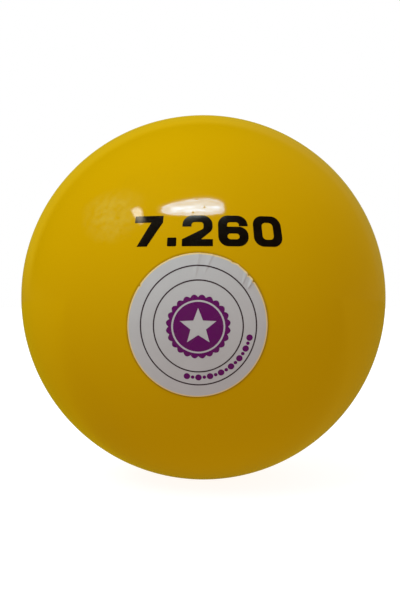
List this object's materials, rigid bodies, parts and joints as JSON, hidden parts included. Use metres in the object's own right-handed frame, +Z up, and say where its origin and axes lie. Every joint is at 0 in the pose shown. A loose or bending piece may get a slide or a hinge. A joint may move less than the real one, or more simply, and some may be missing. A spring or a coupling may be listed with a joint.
{
  "type": "shot put ball",
  "caption": "Round competition shot: an enamelled iron shell filled with lead, with trim pellets under a threaded flush filler plug, and a plain round label on its front.",
  "frame": {"origin": "centre of the ball", "axes": "+Z up through the screw plug; -Y to the front, where the label is; +X to the right as the front is seen"},
  "size_m": [0.12, 0.1205, 0.1195],
  "materials": {
    "yellow_enamel": "gloss",
    "plated_steel": "satin",
    "copper": "satin",
    "lead": "matte",
    "felt": "matte",
    "white_vinyl": "satin",
    "purple_print": "satin",
    "black_print": "satin"
  },
  "bodies": {
    "ball": {"shell": "yellow_enamel", "lead_core": "lead", "packing_wad": "felt", "label": "white_vinyl", "trim_pellet_01": "lead", "trim_pellet_02": "lead", "trim_pellet_03": "lead", "trim_pellet_04": "lead", "trim_pellet_05": "lead", "trim_pellet_06": "lead", "trim_pellet_07": "lead", "trim_pellet_08": "lead", "trim_pellet_09": "lead", "trim_pellet_10": "lead", "trim_pellet_11": "lead", "trim_pellet_12": "lead", "trim_pellet_13": "lead", "trim_pellet_14": "lead"},
    "plug_slide": {"sealing_washer": "copper"},
    "plug": {"screw_plug": "plated_steel"}
  },
  "joints": [
    {"name": "plug_lift", "type": "slide", "parent": "ball", "child": "plug_slide", "axis": [0, 0, 1], "range_m": [0, 0.009]},
    {"name": "plug_turn", "type": "hinge", "parent": "plug_slide", "child": "plug", "pos_m": [0, 0, 0.0518], "axis": [0, 0, 1], "range_deg": [0, 2160]}
  ],
  "couplings": [
    {"joint": "plug_lift", "follows": "plug_turn", "m_per_rad": 0.00023873}
  ]
}
